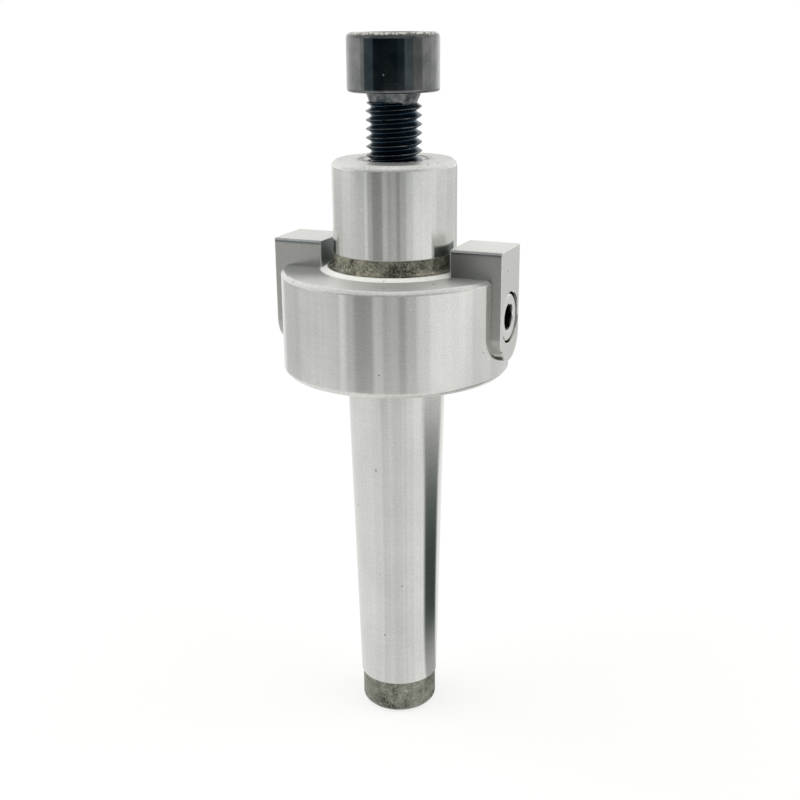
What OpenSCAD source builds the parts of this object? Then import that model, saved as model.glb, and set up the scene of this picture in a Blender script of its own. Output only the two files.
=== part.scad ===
// Face mill arbor: a taper shank with a flange, a pilot for the cutter's bore, two drive keys
// screwed into slots in the flange, and a clamp screw in the pilot.
// The axis is Z, the small end of the shank stands at z = 0 and the keys lie along X.

/* [Taper shank] */
// Diameter of the taper at its gauge line
gauge_d = 17.78; // [16.5:0.01:20]
// Length of the taper, from the gauge line down to the small end
gauge_len = 64; // [55:1:80]
// Overhang between the gauge line and the flange
overhang = 5; // [2:0.5:8]
// Growth of the taper's diameter with each millimetre of length
taper_rate = 0.04995; // [0.045:0.00005:0.052]
// Step in radius from the taper down to the turned relief at the small end
relief_step = 0.3; // [0.1:0.05:1]
// Height of the turned relief at the small end
relief_h = 6.4; // [3:0.1:12]
// Chamfer around the small end
foot_chamfer = 0.8; // [0.3:0.1:1.5]

/* [Flange] */
// Diameter of the flange
flange_d = 41; // [39:0.5:55]
// Thickness of the flange
flange_h = 18.5; // [16:0.5:30]
// Chamfer around the flange's lower rim
flange_low_chamfer = 0.8; // [0.3:0.1:1.5]
// Chamfer around the flange's upper rim
flange_top_chamfer = 0.6; // [0.3:0.1:1.5]

/* [Pilot] */
// Diameter of the ground pilot that the cutter's bore seats on
pilot_d = 22; // [20:0.5:27]
// Length of the pilot above the flange
pilot_len = 19.2; // [16:0.1:24]
// Chamfer at the pilot's upper end
pilot_chamfer = 0.8; // [0.3:0.1:1.2]
// Undercut in radius of the unground neck at the pilot's foot
neck_undercut = 0.12; // [0.05:0.01:0.4]
// Height of the unground neck at the pilot's foot
neck_h = 3.1; // [2.5:0.1:4.5]
// Growth in radius of that neck from its upper end down to its fillet
neck_flare = 0.1; // [0.05:0.01:0.3]
// Radius of the fillet at the neck's foot
neck_fillet = 1.2; // [0.6:0.1:1.6]
// Height of the low ring around the neck, above the flange's face
neck_ring_h = 0.5; // [0.2:0.1:0.8]
// Width of that ring's slope
neck_ring_w = 1.2; // [0.5:0.1:2]

/* [Clamp screw] */
// Crest diameter of the clamp screw's thread
clamp_thread_d = 9.75; // [8:0.05:10]
// Pitch of the clamp screw's right-hand thread
clamp_pitch = 1.5; // [1:0.05:1.75]
// Length of the clamp screw under its head
clamp_len = 25; // [20:1:35]
// Length of the plain neck under the clamp screw's head
clamp_neck_len = 1.9; // [1:0.1:4]
// Drop in radius from the thread's crest to the lower end of that neck
clamp_neck_drop = 0.45; // [0.2:0.05:0.8]
// Diameter of the clamp screw's head
clamp_head_d = 16; // [14:0.5:18]
// Height of the clamp screw's head
clamp_head_h = 9.8; // [8:0.1:12]
// Rounding of the head's upper edge
clamp_head_round = 1; // [0.4:0.1:1.5]
// Rounding of the head's lower edge
clamp_head_foot_round = 0.5; // [0.2:0.1:1]
// Width across flats of the clamp screw's hex socket
clamp_hex = 8; // [6:0.5:10]
// Depth of the clamp screw's hex socket
clamp_hex_depth = 5.2; // [3:0.1:6]
// Height of the head above the pilot, as the screw stands unscrewed
clamp_lift = 11.3; // [2:0.1:12.2]
// Turn of the thread's start about the axis, in degrees
thread_turn = 313; // [0:1:359]

/* [Holes in the axis] */
// Spare depth of the threaded hole beyond the clamp screw's tip, screwed home
clamp_hole_spare = 5; // [2:0.5:8]
// Countersink at the mouth of the clamp hole, on radius
clamp_mouth_bevel = 0.5; // [0.3:0.1:2]
// Diameter of the threaded hole for the drawbar, at the small end
drawbar_d = 8.5; // [6:0.1:10]
// Depth of the threaded hole for the drawbar
drawbar_depth = 28; // [20:1:34]
// Countersink at the mouth of the drawbar hole, on radius
drawbar_mouth_bevel = 1.4; // [0.5:0.1:2]

/* [Drive keys] */
// Width of a drive key
key_w = 10; // [9:0.5:12]
// Height that a key stands above the flange
key_proud = 4.8; // [3:0.1:8]
// Distance that a key stands out past the flange's rim
key_overhang = 1.2; // [0:0.1:2.5]
// Gap between a key's inner face and the pilot
key_gap = 1.3; // [0.8:0.1:2.5]
// Thickness of the flange left under a key's slot
slot_web = 3.3; // [1.5:0.1:5]

/* [Key screws] */
// Diameter of a key screw's shank
key_screw_d = 5; // [4:0.5:6]
// Diameter of a key screw's head
key_head_d = 8.5; // [7:0.1:9]
// Height of a key screw's head
key_head_h = 5; // [3:0.1:5.5]
// Rounding of a key screw's head
key_head_round = 0.4; // [0.1:0.1:0.6]
// Width across flats of a key screw's hex socket
key_hex = 4; // [3:0.1:4.5]
// Depth of a key screw's hex socket
key_hex_depth = 2.5; // [1:0.1:2.8]
// Depth of a key screw's head below the key's outer face
key_head_recess = 0.25; // [0:0.05:0.6]
// Height of a key screw's axis above the middle of the key's rounded end
key_screw_up = 2.8; // [1:0.1:3.5]
// Metal left between a key screw's hole and the clamp hole
key_hole_web = 1; // [0.6:0.1:1.5]

/* [Fits] */
// Clearance of a key in its slot, on each side
slot_fit = 0.02; // [0:0.01:0.1]
// Clearance of the clamp screw's thread in its hole, on radius
thread_fit = 0.125; // [0.1:0.005:0.2]
// Clearance of a key screw's shank in the flange, on radius
shank_fit = 0.02; // [0.01:0.01:0.1]
// Clearance of a key screw's shank through the key, on radius
shank_hole_fit = 0.25; // [0.1:0.05:0.4]
// Clearance around a key screw's head in its counterbore, on radius
head_fit = 0.25; // [0.1:0.05:0.4]
// Clearance beyond a key screw's tip in its blind hole
tip_fit = 0.5; // [0.2:0.1:1]

/* [Hidden] */

$fn = 96;

// Heights along the axis
shank_top = gauge_len + overhang;
flange_top = shank_top + flange_h;
pilot_top = flange_top + pilot_len;
head_foot = pilot_top + clamp_lift;

// Radii of the turned body
foot_r = gauge_d / 2 - gauge_len * taper_rate / 2;
relief_top_r = foot_r + relief_h * taper_rate / 2;
relief_r = relief_top_r - relief_step;
shank_top_r = gauge_d / 2 + overhang * taper_rate / 2;
flange_r = flange_d / 2;
pilot_r = pilot_d / 2;
neck_r = pilot_r - neck_undercut;
clamp_hole_r = clamp_thread_d / 2 + thread_fit;
drawbar_r = drawbar_d / 2;

neck_ring_in = neck_r + neck_flare + neck_fillet;
neck_ring_out = neck_ring_in + neck_ring_w;

// Holes along the axis
drill_angle = 118;
clamp_hole_depth = clamp_len + clamp_hole_spare;
clamp_mouth_angle = 90;
drawbar_mouth_angle = 60;

// Keys: inner and outer faces as distances from the axis, and heights along it
key_in = pilot_r + key_gap;
key_out = flange_r + key_overhang;
key_r = key_w / 2;
key_round_z = shank_top + slot_web + key_r + slot_fit;
key_top = flange_top + key_proud;
key_screw_z = key_round_z + key_screw_up;

// Key screws, as distances from the axis
key_head_top = key_out - key_head_recess;
key_head_foot = key_head_top - key_head_h;
key_hole_end = clamp_hole_r + key_hole_web;
key_screw_tip = key_hole_end + tip_fit;
key_shank_r = key_screw_d / 2;

// Thread form of the clamp screw: flats and depth as shares of the pitch
crest_r = clamp_thread_d / 2;
root_r = crest_r - 0.613 * clamp_pitch;
tip_r = root_r - 0.3;
neck_low_r = crest_r - clamp_neck_drop;
rod_inset = 0.04;
runout_r = neck_low_r - rod_inset;
root_flat = 0.167;
crest_flat = 0.125;
flank = (1 - root_flat - crest_flat) / 2;
thread_steps = 36;
thread_turns = floor((clamp_len - clamp_neck_len) / clamp_pitch);
head_overlap = clamp_pitch;
thread_from = clamp_pitch / 4;
profile_r = [root_r, root_r, crest_r, crest_r];
profile_z = [0, root_flat, root_flat + flank, root_flat + flank + crest_flat];
steps_all = thread_turns * thread_steps;

// The crest rises over the first turn at the tip, and the thread runs out over the last one under the head
function rise(i) = min(1, i / thread_steps);
function runout(i) = max(0, min(1, (i - steps_all + thread_steps) / thread_steps));

// Radius of profile point j at step i
function thread_r(i, j) =
    let (full = j < 2 ? root_r : root_r + (crest_r - root_r) * rise(i))
    full + (runout_r - full) * runout(i);

// Place of profile point j at step i along the helix
function thread_point(i, j) = [
    thread_r(i, j) * cos(360 * i / thread_steps),
    thread_r(i, j) * sin(360 * i / thread_steps),
    thread_from + clamp_pitch * (i / thread_steps + profile_z[j])
];

// Ring of points that closes an end of the thread
function ring(r, z) = [for (i = [0:thread_steps - 1])
    [r * cos(360 * i / thread_steps), r * sin(360 * i / thread_steps), z]];

// Number of profile point j at step i, counting j = 4 as the next turn's first point
function id(i, j) = j < 4 ? 4 * i + j : 4 * (i + thread_steps);

// Threaded rod as one closed skin: a strip one pitch high wound along the helix, and a ring at each end
module threaded_rod() {
    count = steps_all + thread_steps + 1;
    tip = 4 * count;
    top = tip + thread_steps;
    points = concat(
        [for (i = [0:count - 1], j = [0:3]) thread_point(i, j)],
        ring(tip_r, 0),
        ring(runout_r, clamp_len + head_overlap)
    );
    strip = [for (i = [0:steps_all - 1], j = [0:3], k = [0, 1])
        k == 0 ? [id(i, j), id(i + 1, j + 1), id(i + 1, j)]
               : [id(i, j), id(i, j + 1), id(i + 1, j + 1)]];
    // Skirts: from the tip's ring up to the helix, and from the helix up to the ring in the head
    tip_skirt = [for (i = [0:thread_steps - 1], k = [0, 1])
        let (next = (i + 1) % thread_steps)
        if (k == 0 || next > 0)
            k == 0 ? [tip + i, id(i, 0), tip + next]
                   : [tip + next, id(i, 0), id(i + 1, 0)]];
    top_skirt = [for (i = [0:thread_steps - 1], k = [0, 1])
        let (next = (i + 1) % thread_steps)
        if (k == 1 || i > 0)
            k == 0 ? [id(steps_all + i, 0), top + i, id(steps_all + i + 1, 0)]
                   : [id(steps_all + i + 1, 0), top + i, top + next]];
    // Seams: the helix ends in a step one pitch high, which a fan of triangles joins to each skirt
    tip_chain = [tip, id(0, 0), id(0, 1), id(0, 2), id(0, 3), id(0, 4)];
    top_chain = concat([for (j = [0:4]) id(steps_all, j)], [top]);
    tip_seam = [for (k = [0:4]) [tip_chain[k], id(thread_steps - 1, 0), tip_chain[k + 1]]];
    top_seam = [for (k = [0:4]) [top_chain[k], top_chain[k + 1], id(steps_all + 1, 0)]];
    polyhedron(
        points = points,
        faces = concat(strip, tip_skirt, tip_seam, top_skirt, top_seam,
            [[for (i = [0:thread_steps - 1]) tip + i]],
            [[for (i = [thread_steps - 1:-1:0]) top + i]]),
        convexity = 10
    );
}

// Quarter-round arc of an outline, from one angle to another
function arc(centre, r, from, to) = [for (k = [0:6])
    let (a = from + (to - from) * k / 6) [centre[0] + r * cos(a), centre[1] + r * sin(a)]];

// Hexagonal prism of a socket, its mouth at z = 0 and its floor below
module hex_socket(flats, depth) {
    mouth = 0.01;
    translate([0, 0, -depth])
        linear_extrude(depth + mouth)
            circle(d = flats / cos(30), $fn = 6);
}

// Drilled hole downwards from z = 0, with a drill point and a countersunk mouth
module drilled_hole(r, depth, bevel, mouth_angle) {
    bevel_h = bevel / tan(mouth_angle / 2);
    point_h = r / tan(drill_angle / 2);
    rotate_extrude()
        polygon([
            [0, -depth - point_h],
            [r, -depth],
            [r, -bevel_h],
            [r + bevel, 0],
            [r + bevel, 1],
            [0, 1]
        ]);
}

// Outline of a key or of its slot, seen along X: straight sides and a full round lower end
module key_outline(r, low, high) {
    translate([0, low])
        circle(r = r);
    translate([-r, low])
        square([2 * r, high - low]);
}

// Turns a flat outline to face along +X and gives it a thickness from x = near to x = far
module along_x(near, far) {
    translate([near, 0, 0])
        rotate([90, 0, 90])
            linear_extrude(far - near)
                children();
}

// Slot for one key, with the screw hole in its floor
module key_slot() {
    past_rim = 2;
    past_top = 1;
    along_x(key_in, key_out + past_rim)
        key_outline(key_r + slot_fit, key_round_z, flange_top + past_top);
    translate([key_in + 1, 0, key_screw_z])
        rotate([0, -90, 0])
            cylinder(r = key_shank_r + shank_fit, h = key_in + 1 - key_hole_end);
}

// Shank, flange and pilot, turned from one piece
module arbor_body() {
    color("silver")
        difference() {
            rotate_extrude()
                polygon(concat([
                    [0, 0],
                    [relief_r - foot_chamfer, 0],
                    [relief_r, foot_chamfer],
                    [relief_r, relief_h],
                    [relief_top_r, relief_h],
                    [shank_top_r, shank_top],
                    [flange_r - flange_low_chamfer, shank_top],
                    [flange_r, shank_top + flange_low_chamfer],
                    [flange_r, flange_top - flange_top_chamfer],
                    [flange_r - flange_top_chamfer, flange_top],
                    [neck_ring_out, flange_top]
                ],
                arc([neck_ring_in, flange_top + neck_ring_h + neck_fillet], neck_fillet, -90, -180),
                [
                    [neck_r, flange_top + neck_h],
                    [pilot_r, flange_top + neck_h],
                    [pilot_r, pilot_top - pilot_chamfer],
                    [pilot_r - pilot_chamfer, pilot_top],
                    [0, pilot_top]
                ]));
            translate([0, 0, pilot_top])
                drilled_hole(clamp_hole_r, clamp_hole_depth, clamp_mouth_bevel, clamp_mouth_angle);
            mirror([0, 0, 1])
                drilled_hole(drawbar_r, drawbar_depth, drawbar_mouth_bevel, drawbar_mouth_angle);
            for (turn = [0, 180])
                rotate([0, 0, turn])
                    key_slot();
        }
}

// Drive key on the +X side, with its counterbored screw hole
module drive_key() {
    counterbore_x = key_head_foot;
    difference() {
        along_x(key_in, key_out)
            key_outline(key_r, key_round_z, key_top);
        translate([key_in - 1, 0, key_screw_z])
            rotate([0, 90, 0])
                cylinder(r = key_shank_r + shank_hole_fit, h = key_out - key_in + 2);
        translate([counterbore_x, 0, key_screw_z])
            rotate([0, 90, 0])
                cylinder(r = key_head_d / 2 + head_fit, h = key_out - counterbore_x + 1);
    }
}

// Socket head screw of the +X key, seated in the key's counterbore
module key_screw() {
    head_r = key_head_d / 2;
    head_top = key_head_top - key_screw_tip;
    head_foot = key_head_foot - key_screw_tip;
    translate([key_screw_tip, 0, key_screw_z])
        rotate([0, 90, 0])
            difference() {
                rotate_extrude()
                    polygon([
                        [0, 0],
                        [key_shank_r - key_head_round, 0],
                        [key_shank_r, key_head_round],
                        [key_shank_r, head_foot],
                        [head_r, head_foot],
                        [head_r, head_top - key_head_round],
                        [head_r - key_head_round, head_top],
                        [0, head_top]
                    ]);
                translate([0, 0, head_top])
                    hex_socket(key_hex, key_hex_depth);
            }
}

module drive_key_right() {
    color("lightgray")
        drive_key();
}

module drive_key_left() {
    color("lightgray")
        rotate([0, 0, 180])
            drive_key();
}

module key_screw_right() {
    color("gainsboro")
        key_screw();
}

module key_screw_left() {
    color("gainsboro")
        rotate([0, 0, 180])
            key_screw();
}

// Clamp screw, standing part way out of the pilot
module clamp_screw() {
    head_r = clamp_head_d / 2;
    foot = clamp_len;
    top = clamp_len + clamp_head_h;
    neck_from = clamp_len - clamp_neck_len;
    color("dimgray")
        translate([0, 0, head_foot - clamp_len]) {
            difference() {
                rotate_extrude()
                    polygon(concat(
                        [[0, neck_from], [neck_low_r, neck_from], [crest_r, foot]],
                        arc([head_r - clamp_head_foot_round, foot + clamp_head_foot_round],
                            clamp_head_foot_round, -90, 0),
                        arc([head_r - clamp_head_round, top - clamp_head_round], clamp_head_round, 0, 90),
                        [[0, top]]
                    ));
                translate([0, 0, top])
                    hex_socket(clamp_hex, clamp_hex_depth);
            }
            rotate([0, 0, thread_turn])
                threaded_rod();
        }
}

arbor_body();
drive_key_right();
drive_key_left();
key_screw_right();
key_screw_left();
clamp_screw();
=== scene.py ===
import math

import bpy
import numpy as np
from mathutils import Matrix, Vector


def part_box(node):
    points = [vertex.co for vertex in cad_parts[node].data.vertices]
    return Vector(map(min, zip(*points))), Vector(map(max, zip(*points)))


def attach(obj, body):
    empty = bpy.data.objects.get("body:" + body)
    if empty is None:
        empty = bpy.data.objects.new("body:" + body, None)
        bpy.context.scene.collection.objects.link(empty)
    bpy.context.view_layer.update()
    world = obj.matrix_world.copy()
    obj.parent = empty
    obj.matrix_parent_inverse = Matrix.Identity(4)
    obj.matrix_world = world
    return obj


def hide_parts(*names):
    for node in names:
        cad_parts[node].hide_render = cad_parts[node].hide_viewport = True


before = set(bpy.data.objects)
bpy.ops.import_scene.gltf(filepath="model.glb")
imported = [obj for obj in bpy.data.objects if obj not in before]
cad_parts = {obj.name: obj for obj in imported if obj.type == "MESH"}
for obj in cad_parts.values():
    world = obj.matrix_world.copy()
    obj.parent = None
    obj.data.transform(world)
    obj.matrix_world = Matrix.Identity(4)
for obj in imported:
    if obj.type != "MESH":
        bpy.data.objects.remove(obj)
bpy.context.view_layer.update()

mm = 0.001
fullTurn = 2 * math.pi
around = 288  # points round the turned body
aroundKey = 360  # points round a key
aroundSlot = 240  # points round the cutter of a key's slot
aroundScrew = 144  # points round a screw, a multiple of six so that socket corners fall on points
objectSpot = 3  # the output of a texture coordinate node that gives Object coordinates


# node graphs


class Wire:  # an output socket that can stand in a formula
    def __init__(self, graph, socket):
        self.graph, self.socket = graph, socket

    def math(self, operation, *others):
        return self.graph.math(operation, self, *others)

    def __add__(self, other):
        return self.math("ADD", other)

    def __sub__(self, other):
        return self.math("SUBTRACT", other)

    def __rsub__(self, other):
        return self.graph.math("SUBTRACT", other, self)

    def __mul__(self, other):
        return self.math("MULTIPLY", other)

    def __truediv__(self, other):
        return self.math("DIVIDE", other)

    def size(self):  # the value without its sign
        return self.math("ABSOLUTE")

    def orMore(self, other):  # the larger of two values
        return self.math("MAXIMUM", other)

    def ease(self, low, high):  # 0 below low, 1 above high, smooth between
        settings = {"interpolation_type": "SMOOTHSTEP", "clamp": True}
        limits = {0: self, 1: low, 2: high, 3: 0.0, 4: 1.0}
        return self.graph.add("ShaderNodeMapRange", settings, limits)


class Graph:  # a material's or world's nodes
    def __init__(self, owner):
        owner.use_nodes = True
        self.tree = owner.node_tree
        self.tree.nodes.clear()

    def add(self, kind, settings=None, inputs=None, output=0):
        node = self.tree.nodes.new(kind)
        for key, value in (settings or {}).items():
            setattr(node, key, value)
        for key, value in (inputs or {}).items():
            socket = node.inputs[key]
            if isinstance(value, Wire):
                self.tree.links.new(value.socket, socket)
            else:
                socket.default_value = value
        return Wire(self, node.outputs[output])

    def math(self, operation, *values):
        return self.add("ShaderNodeMath", {"operation": operation}, dict(enumerate(values)))

    def measure(self, operation, *vectors):  # a length or a dot product
        settings = {"operation": operation}
        return self.add("ShaderNodeVectorMath", settings, dict(enumerate(vectors)), "Value")

    def spot(self):
        return self.add("ShaderNodeTexCoord", output=objectSpot)

    def along(self, axis):  # one of the Object coordinates
        return self.add("ShaderNodeSeparateXYZ", inputs={0: self.spot()}, output=axis)

    def reach(self):  # distance from the arbor's axis
        settings, flat = {"operation": "MULTIPLY"}, {0: self.spot(), 1: (1, 1, 0)}
        return self.measure("LENGTH", self.add("ShaderNodeVectorMath", settings, flat))

    def noise(self, scale, detail, rough):
        # stretched by three scales, or even, and then tilted so that its rows don't show
        even = not isinstance(scale, tuple)
        inputs = {
            "Vector": self.spot(), "Rotation": (0.62, 0.41, 0.87) if even else (0.0, 0.0, 0.0),
            "Scale": (scale,) * 3 if even else scale,
        }
        spot = self.add("ShaderNodeMapping", inputs=inputs)
        values = {"Vector": spot, "Scale": 1.0, "Detail": detail, "Roughness": rough}
        return self.add("ShaderNodeTexNoise", inputs=values)

    def ramp(self, share, stops):  # a colour for each share
        wire = self.add("ShaderNodeValToRGB", inputs={0: share})
        ends = wire.socket.node.color_ramp.elements
        for end, (place, colour) in zip((ends[0], ends[1]), (stops[0], stops[-1])):
            end.position, end.color = place, (*colour, 1)
        for place, colour in stops[1:-1]:
            ends.new(place).color = (*colour, 1)
        return wire

    def blend(self, share, first, second):  # mixes two colours
        settings = {"data_type": "RGBA", "blend_type": "MIX", "clamp_factor": True}
        return self.add("ShaderNodeMix", settings, {0: share, 6: first, 7: second}, output=2)

    def bump(self, height, distance, under=None):
        values = {"Height": height, "Distance": distance, "Strength": 1.0}
        if under:
            values["Normal"] = under
        return self.add("ShaderNodeBump", inputs=values)

    def mixShaders(self, share, first, second):
        return self.add("ShaderNodeMixShader", inputs={0: share, 1: first, 2: second})

    def glow(self, colour, strength):
        return self.add("ShaderNodeEmission", inputs={"Color": colour, "Strength": strength})

    def close(self, shader, kind="ShaderNodeOutputMaterial"):
        node = self.tree.nodes.new(kind)
        self.tree.links.new(shader.socket, node.inputs["Surface"])

    def metal(self, sockets):
        self.close(self.add("ShaderNodeBsdfPrincipled", inputs=sockets))


def grey(value, warm=0.0):  # a little green and less blue, as cut steel looks
    return (value * (0.995 + warm), value, value * (0.955 - warm), 1.0)


def newMaterial(name):
    material = bpy.data.materials.new(name)
    return material, Graph(material)


def paintedShadeShare(graph, paintedShade):
    # painted shade on the right-hand piece only, where the pilot and the slot shade the key's sides:
    # it fades downward and away from the axis
    across, height = graph.along("X"), graph.along("Z")
    inward = across.ease(*paintedShade["from"]) * (1.0 - across.ease(*paintedShade["across"]))
    return inward * height.ease(*paintedShade["height"]) * paintedShade["depth"]


def cutSteel(name, look):
    # steel with marks that run round the axis: the noise of the rings is stretched sideways,
    # so it changes fast with height only; the tone is one half plus each noise's own share
    material, graph = newMaterial(name)
    rings, grain, fleck, cloud, pits, nicks = (
        graph.noise(*look[kind]) for kind in ("rings", "grain", "fleck", "cloud", "pits", "nicks")
    )
    tone = (grain - 0.5) * look["grainTone"] + (rings - 0.5) * look["ringTone"]
    tone = tone + (cloud - 0.5) * look["cloudTone"] + (fleck - 0.5) * look["fleckTone"] + 0.5
    colour = graph.blend(tone.ease(0.0, 1.0), look["dark"], look["light"])
    pits = pits.ease(look["pitEdge"], look["pitEdge"] + look["markSoft"])
    nicks = nicks.ease(look["nickEdge"], look["nickEdge"] + look["markSoft"])
    colour = graph.blend(pits * look["pitShade"], colour, look["pitColour"])
    colour = graph.blend(nicks * look["nickShade"], colour, look["nickColour"])
    # painted shade laid over the colour where a look asks for it
    if "paintedShade" in look:
        colour = graph.blend(paintedShadeShare(graph, look["paintedShade"]), colour, look["paintedShade"]["colour"])
    # grime and painted shade round the clamp screw, gathered towards the axis
    if "grimeAndShade" in look:
        grimeAndShade = look["grimeAndShade"]
        near = 1.0 - graph.reach().ease(*grimeAndShade["radius"])
        spots = (graph.noise(*grimeAndShade["noise"]) + near * grimeAndShade["gather"]).ease(*grimeAndShade["edge"])
        colour = graph.blend(spots * near, colour, grimeAndShade["colour"])
    spread = look["roughSpread"]
    rough = (fleck - 0.5) * spread + (rings - 0.5) * spread + look["rough"] + pits * look["pitRough"]
    height = grain + fleck * look["fleckHeight"] - pits * look["pitHeight"]
    normal = graph.bump(height, look["grainDepth"], under=graph.bump(rings, look["ringDepth"]))
    graph.metal({
        "Base Color": colour, "Metallic": look["metal"], "Roughness": rough, "Normal": normal,
        "Anisotropic": look["anisotropy"], "Anisotropic Rotation": look["markTurn"],
    })
    return material


steel = {  # each noise has its scale, its detail and its roughness
    "dark": grey(0.50), "light": grey(0.82), "metal": 1.0,
    "rough": 0.16, "roughSpread": 0.07, "anisotropy": 0.75, "markTurn": 0.25,
    "rings": ((60, 60, 2300), 3.0, 0.6), "ringTone": 0.12, "ringDepth": 4e-7,
    "cloud": ((150, 150, 90), 3.0, 0.5), "cloudTone": 0.35,
    "grain": (3600, 3.0, 0.65), "grainTone": 0.45, "grainDepth": 1.1e-6,
    "fleck": (8000, 2.0, 0.6), "fleckTone": 0.55, "fleckHeight": 0.5,
    "pits": (900, 1.0, 0.4), "pitEdge": 0.79, "pitShade": 0.75, "pitColour": grey(0.1),
    "pitRough": 0.2, "pitHeight": 2.0, "markSoft": 0.02,
    "nicks": (1300, 1.0, 0.4), "nickEdge": 0.80, "nickShade": 0.6, "nickColour": grey(0.95),
}
# grime and painted shade round the clamp screw's hole on the pilot's top face
screwGrimeAndShade = {
    "radius": (0.0054, 0.0084), "noise": (1100, 4.0, 0.7), "gather": 0.25, "edge": (0.62, 0.72),
    "colour": grey(0.03),
}
# painted shade on the right key's sides, darkest near the axis and high up
pilotShadeOnKey = {
    "from": (0.0, 0.01), "across": (0.0125, 0.0205), "height": (0.079, 0.088), "depth": 0.85,
    "colour": grey(0.13),
}
groundFinish = cutSteel("groundSteel", steel)
turnedFinish = cutSteel("turnedSteel", {
    **steel, "light": grey(0.80), "dark": grey(0.52), "rough": 0.38, "anisotropy": 0.6,
    "metal": 0.85, "nickEdge": 0.73, "pitEdge": 0.76, "ringTone": 0.3, "grimeAndShade": screwGrimeAndShade,
})
# painted shade inside the bores and on the drawbar's thread
boreShading = cutSteel("boreShade", {
    **steel, "dark": grey(0.10), "light": grey(0.26), "rough": 0.4, "anisotropy": 0.0,
    "nickEdge": 0.95,
})
faceFinish = cutSteel("turnedFace", {
    **steel, "light": grey(0.95), "dark": grey(0.54), "rough": 0.38, "anisotropy": 0.8,
    "metal": 0.80, "nickEdge": 0.74, "pitEdge": 0.76, "ringTone": 0.3,
})
# a rough turned ring round the neck, coloured near white as a painted highlight
ringHighlightFinish = cutSteel("roughRing", {
    **steel, "light": grey(0.98), "dark": grey(0.74), "rough": 0.55, "anisotropy": 0.0,
    "metal": 0.3, "nickEdge": 0.66, "pitEdge": 0.72, "grainDepth": 1e-5,
})
edgeFinish = cutSteel("wornEdges", {
    **steel, "dark": grey(0.50), "light": grey(0.86), "rough": 0.30, "anisotropy": 0.0,
    "metal": 0.75, "grain": (1500, 3.0, 0.65), "grainTone": 0.6, "nicks": (1900, 1.0, 0.4),
    "nickEdge": 0.72, "pitEdge": 0.74,
})
keyFinish = cutSteel("keySteel", {
    **steel, "dark": grey(0.52, 0.01), "light": grey(0.76, 0.01), "rough": 0.22,
    "anisotropy": 0.0, "nickEdge": 0.86,
})
# the key's side faces: the key's steel made darker as painted shade
keySideShaded = cutSteel("keySides", {
    **steel, "dark": grey(0.33, 0.012), "light": grey(0.52, 0.012), "rough": 0.24,
    "anisotropy": 0.0, "nickEdge": 0.84, "paintedShade": pilotShadeOnKey,
})
# the faces towards the axis: darker and teal, a painted reflection of the pilot's shade
keyInnerShaded = cutSteel("keyInner", {
    **steel, "dark": (0.26, 0.30, 0.30, 1), "light": (0.42, 0.46, 0.46, 1), "rough": 0.4,
    "anisotropy": 0.0, "metal": 0.7, "nickEdge": 0.84,
})
screwFinish = cutSteel("screwSteel", {
    **steel, "dark": grey(0.6), "light": grey(0.82), "rough": 0.2, "anisotropy": 0.0,
    "grainDepth": 1.5e-6,
})
# painted shade inside the hex sockets
socketShading = cutSteel("socketShade", {
    **steel, "dark": grey(0.02), "light": grey(0.06), "rough": 0.4, "anisotropy": 0.0,
    "nickEdge": 0.95,
})


def scaleSteel(name, look):
    # the skin left by rolling and hardening: blotches, dark pits and pale specks
    material, graph = newMaterial(name)
    cloud, speck, patch, pale = (
        graph.noise(*look[kind]) for kind in ("cloud", "speck", "patch", "pale")
    )
    tone = cloud * look["cloudTone"] + speck * look["speckTone"] + (patch - 0.5) * look["patchTone"]
    colour = graph.ramp(tone, look["stops"])
    pale = pale.ease(*look["paleEdge"]) * look["paleShade"]
    colour = graph.blend(pale, colour, look["paleColour"])
    height = cloud * look["cloudHeight"] + speck * look["speckHeight"]
    graph.metal({
        "Base Color": colour, "Metallic": look["metal"],
        "Roughness": (speck - 0.5) * look["roughSpread"] + look["rough"],
        "Normal": graph.bump(height, look["depth"]),
    })
    return material


scaled = {
    "speck": (2600, 3.0, 0.65), "patch": (170, 2.0, 0.5), "pale": (1700, 2.0, 0.5),
    "cloudTone": 0.55, "speckTone": 0.45, "patchTone": 0.28, "cloudHeight": 0.6, "speckHeight": 0.7,
    "paleEdge": (0.66, 0.72), "paleShade": 0.6, "paleColour": (0.45, 0.44, 0.38, 1),
    "metal": 0.5, "rough": 0.48, "roughSpread": 0.3,
}
neckFinish = scaleSteel("brownNeck", {
    **scaled, "cloud": (430, 5.0, 0.75), "depth": 1.2e-4, "stops": [
        (0.34, (0.012, 0.012, 0.010)), (0.43, (0.08, 0.077, 0.060)), (0.50, (0.20, 0.193, 0.150)),
        (0.58, (0.34, 0.325, 0.25)), (0.70, (0.58, 0.555, 0.44)),
    ],
})
footFinish = scaleSteel("oliveFoot", {
    **scaled, "cloud": (560, 5.0, 0.75), "depth": 9e-5, "stops": [
        (0.34, (0.02, 0.022, 0.016)), (0.43, (0.10, 0.105, 0.080)), (0.50, (0.185, 0.190, 0.150)),
        (0.58, (0.25, 0.255, 0.21)), (0.70, (0.42, 0.42, 0.36)),
    ],
})


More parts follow.
